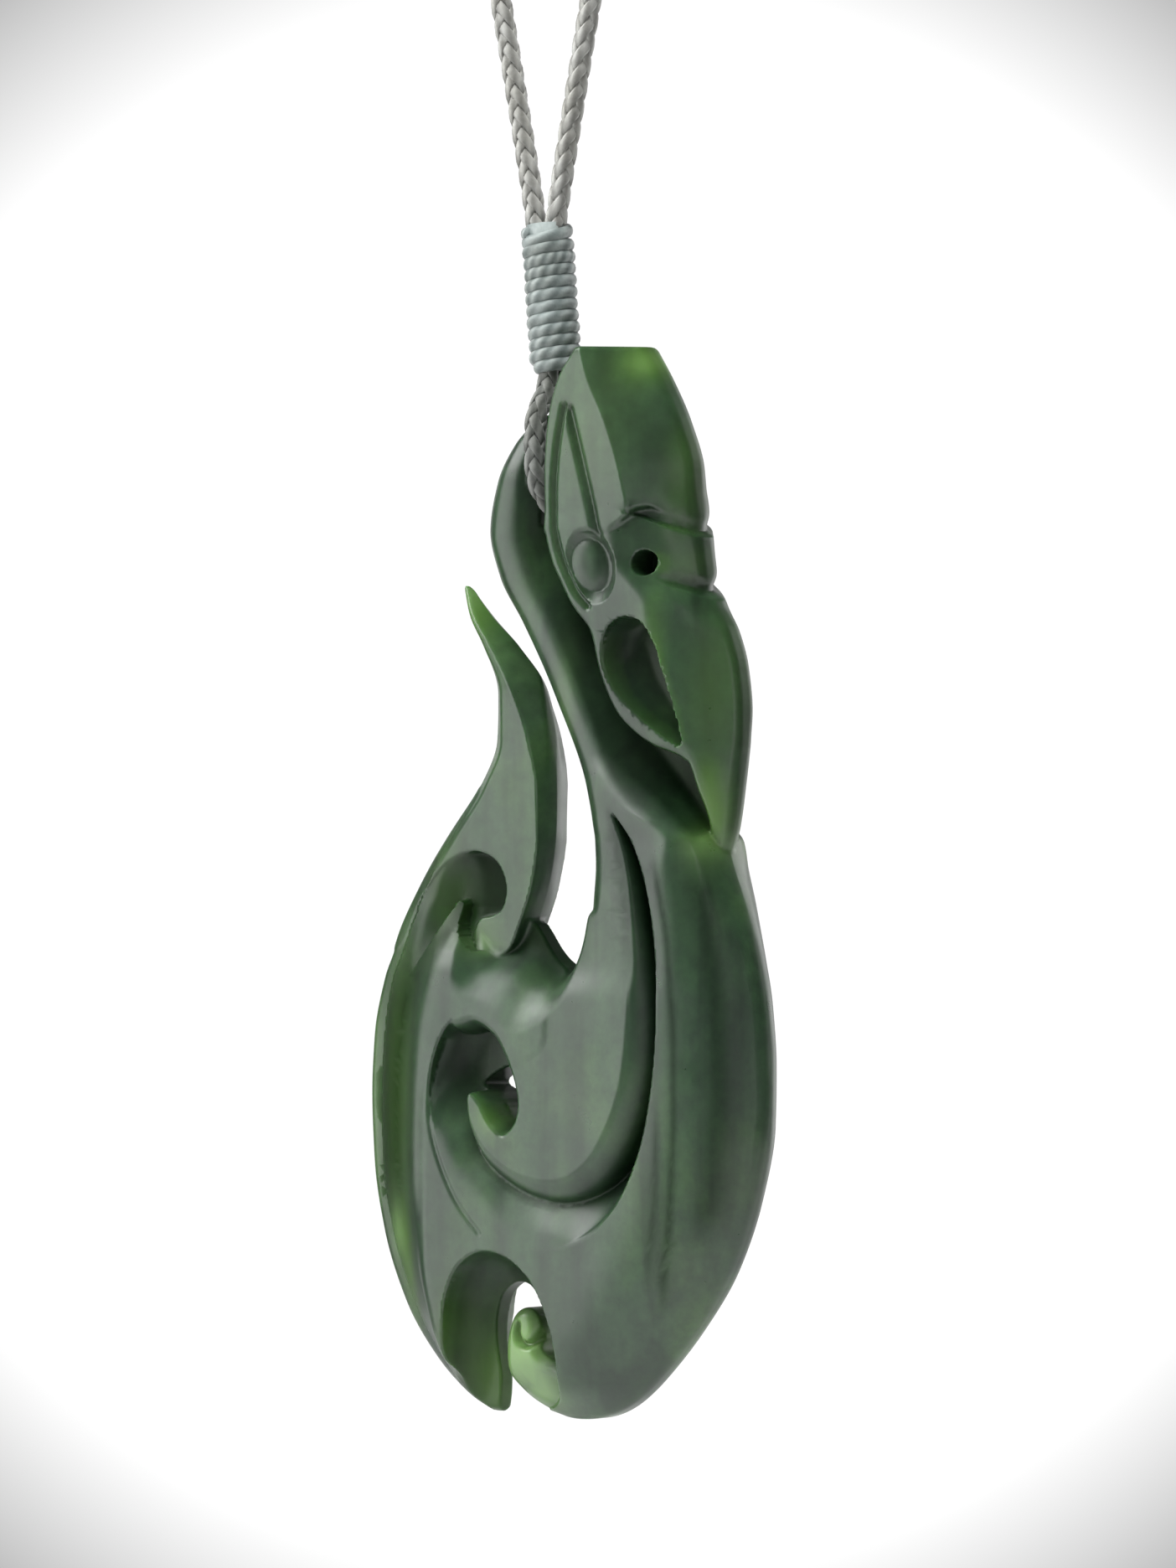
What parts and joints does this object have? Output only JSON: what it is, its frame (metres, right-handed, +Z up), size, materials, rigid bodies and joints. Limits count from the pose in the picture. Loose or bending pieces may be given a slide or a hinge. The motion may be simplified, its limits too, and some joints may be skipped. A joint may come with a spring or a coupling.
{
  "type": "manaia pendant necklace",
  "caption": "Carved nephrite manaia pendant with hooked tusk, inner spiral and beaked head, hung by a whipped loop on a plaited neck cord.",
  "frame": {"origin": "underside of the top of the neck cord, where it hangs on the back of the neck", "axes": "+Z up along the hanging necklace, +X to the wearer's left across the loop, -Y out of the pendant's front face"},
  "size_m": [0.097, 0.0108, 0.391],
  "materials": {
    "nephrite": "satin polish, translucent where thin",
    "plaited_cord": "waxed plait, matt with a faint sheen",
    "whipping_thread": "waxed twisted thread, matt"
  },
  "bodies": {
    "cord": {"neck_cord": "plaited_cord", "binding": "whipping_thread", "cord_eye": "plaited_cord"},
    "stone": {"pendant": "nephrite"}
  },
  "joints": [
    {"name": "pendant_swing", "type": "hinge", "parent": "cord", "child": "stone", "pos_m": [0.00183, 0, -0.30963], "axis": [1, 0, 0], "range_deg": [-15, 15]}
  ]
}
